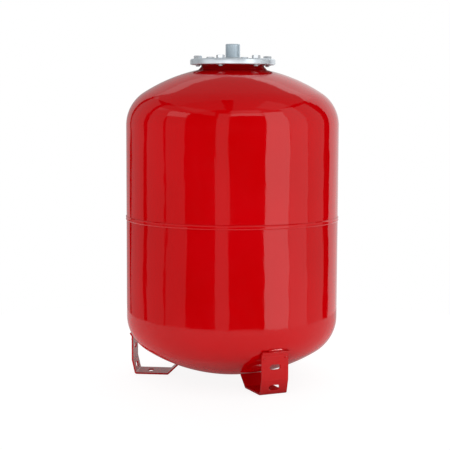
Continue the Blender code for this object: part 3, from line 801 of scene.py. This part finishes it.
def weld(node, number):
    """A short bead beside a strap, lumpy where the arc paused."""
    first = node[:-1] + "1"
    low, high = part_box(first)
    centre, half = (low + high) / 2, (high - low) / 2
    if "outer" in node:
        half += Vector((OUTER_BEAD_LONGER, OUTER_BEAD_SWELL, OUTER_BEAD_SWELL))
        centre += Vector((0, OUTER_BEAD_SINK, OUTER_BEAD_SINK))
    bm = bmesh.new()
    bmesh.ops.create_uvsphere(bm, u_segments=96, v_segments=20, radius=1)
    bmesh.ops.rotate(bm, verts=bm.verts[:], matrix=Matrix.Rotation(math.pi / 2, 3, "Y"))
    for vertex in bm.verts:
        fullness = math.sqrt(1 + vertex.co.x**2)
        place = Vector(part * size for part, size in zip(vertex.co, half))
        place.y *= fullness
        place.z *= fullness
        beads = 1 - BEAD_DEPTH + BEAD_DEPTH * abs(math.sin(place.x / BEAD_SPACING))
        grain = (place.x * BEAD_GRAIN[0], place.y * BEAD_GRAIN[1], number)
        rough = noise.noise(Vector(grain)) * BEAD_ROUGHNESS
        place.y *= beads + rough
        place.z *= beads + rough
        vertex.co = centre + place
    bm.transform(turned_to(number))
    piece(f"{node}_skin", bm, node, BEAD_SMOOTH_ANGLE)


def valve():
    """The gas valve: its turned pieces, stem, spring and cap."""
    for node in ("valve_boss", "stem_seal", "core_sleeve", "core_gasket", "core_pin", "pin_seal"):
        turned(node, SMALL)
    turned("cap_seal", SMALL)
    rippled("boss_weld", MEDIUM)
    stem()
    spring()
    cap()


def stem():
    """The valve's stem: a tube with a fine outside thread and a hexagon to turn it by."""
    outline = [point for point in section("valve_stem") if point[0] > WELD]
    mouth = min(height for radius, height in outline)
    shank = min(radius for radius, height in outline if height == mouth)
    outer = max(radius for radius, height in outline if height == mouth)
    hex_top = min(height for radius, height in outline if radius > outer + WELD)
    hex_bottom = max(height for radius, height in outline if abs(radius - outer) < WELD)

    def shape(radius, height, angle):
        if abs(radius - outer) > WELD or height > hex_bottom - VALVE_PITCH:
            return radius, height
        lowered = VALVE_THREAD_DEPTH * (1 - ridge(height / VALVE_PITCH - angle / math.tau))
        turned_off = max(0.0, VALVE_THREAD_DEPTH - (height - mouth))
        return radius - max(lowered, turned_off), height

    tube = mesh_from(spun(divided(outline, VALVE_PITCH / THREAD_ROWS), SMALL, shape))
    hexagon = hexagon_blank(STEM_HEX_ACROSS_FLATS, hex_bottom, hex_top, True, True)
    ring = cut(hexagon, rod((shank + outer) / 2, hex_bottom - MM, hex_top + MM))
    piece_of("valve_stem_skin", cut(tube, ring, "UNION"), "valve_stem")


def spring():
    """The core's coil, which shortens as the pin is pressed in."""
    low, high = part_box("core_spring")
    radius = high.x - SPRING_WIRE_RADIUS
    bottom, top = low.z + SPRING_WIRE_RADIUS, high.z - SPRING_WIRE_RADIUS
    count = SPRING_TURNS * SPRING_STEPS
    bm = bmesh.new()
    rows = []
    for i in range(count + 1):
        angle = math.tau * i / SPRING_STEPS
        outward = Vector((math.cos(angle), math.sin(angle), 0))
        centre = outward * radius + Vector((0, 0, bottom + (top - bottom) * i / count))
        row = []
        for j in range(SPRING_SIDES):
            round_wire = math.tau * j / SPRING_SIDES
            offset = outward * math.cos(round_wire) + Vector((0, 0, math.sin(round_wire)))
            row.append(bm.verts.new(centre + offset * SPRING_WIRE_RADIUS))
        rows.append(row)
    for row, onward in zip(rows, rows[1:]):
        for j in range(SPRING_SIDES):
            bm.faces.new((row[j], row[j - 1], onward[j - 1], onward[j]))
    bm.faces.new(rows[0])
    bm.faces.new(rows[-1])
    made = piece("core_spring_skin", bm, "core_spring")
    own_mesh(made)


def cap():
    """The dust cap: fine ribs round its skirt, a domed end, and a plain band at its lip."""
    low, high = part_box("valve_cap")
    bore = max(radius for radius, height in section("valve_cap"))
    floor = min(height for radius, height in section("valve_cap") if radius > WELD)
    outside = [
        (high.x, high.z),
        (high.x, high.z - CAP_BAND),
        (high.x, high.z - CAP_BAND - CAP_BAND_EDGE),
        (high.x, low.z + CAP_DOME),
    ]
    for i in range(1, ARC_PARTS + 1):
        angle = math.pi / 2 * i / ARC_PARTS
        inward = CAP_DOME * CAP_DOME_IN * (1 - math.cos(angle))
        outside.append((high.x - inward, low.z + CAP_DOME * (1 - math.sin(angle))))
    outline = [(bore, high.z), *outside, (0, low.z), (0, floor), (bore, floor)]

    def shape(radius, height, angle):
        in_skirt = low.z + WELD <= height <= high.z - CAP_BAND - WELD
        if radius < high.x - CAP_DOME or not in_skirt:
            return radius, height
        groove = (0.5 - 0.5 * math.cos(CAP_RIBS * angle)) ** 3
        return radius - CAP_RIB_DEPTH * groove, height

    piece("valve_cap_skin", spun(divided(outline, CAP_STEP), FINE, shape), "valve_cap")


# ---------------------------------------------------------------- studio


def panel(name, rig, place, facing, size, brightness):
    """A soft box that shows in reflections but not to the camera."""
    light = bpy.data.lights.new(name, "AREA")
    light.shape = "RECTANGLE"
    light.size, light.size_y = size
    light.energy = brightness * math.pi * size[0] * size[1]
    made = bpy.data.objects.new(name, light)
    bpy.context.scene.collection.objects.link(made)
    made.parent = rig
    made.location = place
    made.rotation_euler = Vector(facing).to_track_quat("-Z", "Y").to_euler()
    made.visible_camera = False
    return made


def round_about(rig, name, start, end, bottom, top, brightness):
    """A panel that fills this sector of the room."""
    middle = math.radians((start + end) / 2)
    width = 2 * PANEL_DISTANCE * math.tan(math.radians(end - start) / 2)
    away = Vector((math.sin(middle), -math.cos(middle), 0))
    place = away * PANEL_DISTANCE
    place.z = (top + bottom) / 2
    return panel(name, rig, place, -away, (width, top - bottom), brightness)


def only_on(light, start):
    """Keeps a light to the pieces whose names start like this."""
    lit = bpy.data.collections.new(f"lit_by_{light.name}")
    for made in bpy.context.scene.collection.objects:
        if made.type == "MESH" and made.name.startswith(start):
            lit.objects.link(made)
    light.light_linking.receiver_collection = lit


def camera_on(rig):
    """The camera, at the photograph's viewing angle."""
    lens = bpy.data.cameras.new("camera")
    lens.lens = CAMERA_LENS_MM
    lens.sensor_width = CAMERA_SENSOR_MM
    camera = bpy.data.objects.new("camera", lens)
    bpy.context.scene.collection.objects.link(camera)
    camera.parent = rig
    camera.location = (0, -CAMERA_DISTANCE, CAMERA_HEIGHT)
    turn = Matrix.Rotation(math.radians(CAMERA_YAW_DEG), 4, "Z")
    turn @= Matrix.Rotation(math.radians(90 + CAMERA_PITCH_DEG), 4, "X")
    turn @= Matrix.Rotation(math.radians(CAMERA_ROLL_DEG), 4, "Z")
    camera.rotation_euler = turn.to_euler()
    return camera


def studio():
    """The camera, the soft boxes round the vessel, the world and the table."""
    scene = bpy.context.scene
    rig = bpy.data.objects.new("studio", None)
    scene.collection.objects.link(rig)
    rig.rotation_euler.z = math.radians(CAMERA_AZIMUTH_DEG)
    scene.camera = camera_on(rig)

    for sector in PANELS:
        round_about(rig, *sector)
    for name, place, size, brightness in CEILING:
        panel(name, rig, place, (0, 0, -1), size, brightness)
    for lit, card in CARDS:
        only_on(round_about(rig, *card), lit)
    glint = round_about(rig, *FOOT_GLINT)
    only_on(glint, "foot")
    glint.visible_diffuse = False
    scene.world = room()
    scene.view_settings.view_transform = "Standard"
    tabletop()


def room():
    """White to the camera. Diffuse surfaces get the fills, and no reflection shows the room."""
    world = bpy.data.worlds.new("studio")
    world.use_nodes = True
    world.cycles_visibility.glossy = False
    nodes, links = world.node_tree.nodes, world.node_tree.links
    view = nodes.new("ShaderNodeTexCoord").outputs["Generated"]

    def number(operation, *inputs):
        """What this operation makes of its inputs, which are numbers or sockets."""
        made = nodes.new("ShaderNodeMath")
        made.operation = operation
        for socket, value in zip(made.inputs, inputs):
            if isinstance(value, (int, float)):
                socket.default_value = value
            else:
                links.new(value, socket)
        return made.outputs["Value"]

    def lobe(towards, strength):
        """Light that is strongest from this direction and gone at right angles to it."""
        dot = nodes.new("ShaderNodeVectorMath")
        dot.operation = "DOT_PRODUCT"
        links.new(view, dot.inputs[0])
        dot.inputs[1].default_value = Vector(towards).normalized()
        facing = number("MAXIMUM", dot.outputs["Value"], 0.0)
        return number("MULTIPLY", number("POWER", facing, FILL_POWER), strength)

    turn = Matrix.Rotation(math.radians(CAMERA_AZIMUTH_DEG), 3, "Z")
    strength = EVEN_FILL
    for fill, towards in FILLS:
        strength = number("ADD", lobe(turn @ Vector(towards), fill), strength)
    links.new(strength, nodes["Background"].inputs["Strength"])
    nodes["Background"].inputs["Color"].default_value = (1, 1, 1, 1)
    white = nodes.new("ShaderNodeBackground")
    white.inputs["Color"].default_value = (1, 1, 1, 1)
    path = nodes.new("ShaderNodeLightPath")
    mix = nodes.new("ShaderNodeMixShader")
    links.new(path.outputs["Is Camera Ray"], mix.inputs["Fac"])
    links.new(nodes["Background"].outputs["Background"], mix.inputs[1])
    links.new(white.outputs["Background"], mix.inputs[2])
    links.new(mix.outputs["Shader"], nodes["World Output"].inputs["Surface"])
    return world


def tabletop():
    """The floor as the camera sees it, as the paint reflects it, and as it lights the underside.

    A small dark disc under the tank stands for its contact shadow.
    """
    turn = Matrix.Rotation(math.radians(CAMERA_AZIMUTH_DEG), 3, "Z")
    for depth, (name, radius, centre, glow, tone, use) in enumerate(FLOORS):
        bm = bmesh.new()
        bmesh.ops.create_circle(bm, cap_ends=True, segments=128, radius=radius)
        disc = bpy.data.objects.new(name, mesh_from(bm, name))
        bpy.context.scene.collection.objects.link(disc)
        disc.location = turn @ Vector((*centre, -FLOOR_STEP * (depth + 1)))
        for ray in ("camera", "glossy", "diffuse", "transmission", "shadow"):
            setattr(disc, f"visible_{ray}", ray == use)
        made = Shader(name, Specular_IOR_Level=0.1)
        made.surface.inputs["Emission Color"].default_value = (1, 1, 1, 1)
        made.surface.inputs["Emission Strength"].default_value = glow
        colour = made.colours(made.noise(6), grey(tone * 0.96), grey(tone))
        rough = made.spread(made.noise(30), 0.7, 0.8)
        disc.data.materials.append(made.finish(colour, rough, made.bump(made.noise(400), 1e-5)))


tank()
neck()
fasteners()
feet()
bladder()
valve()
studio()
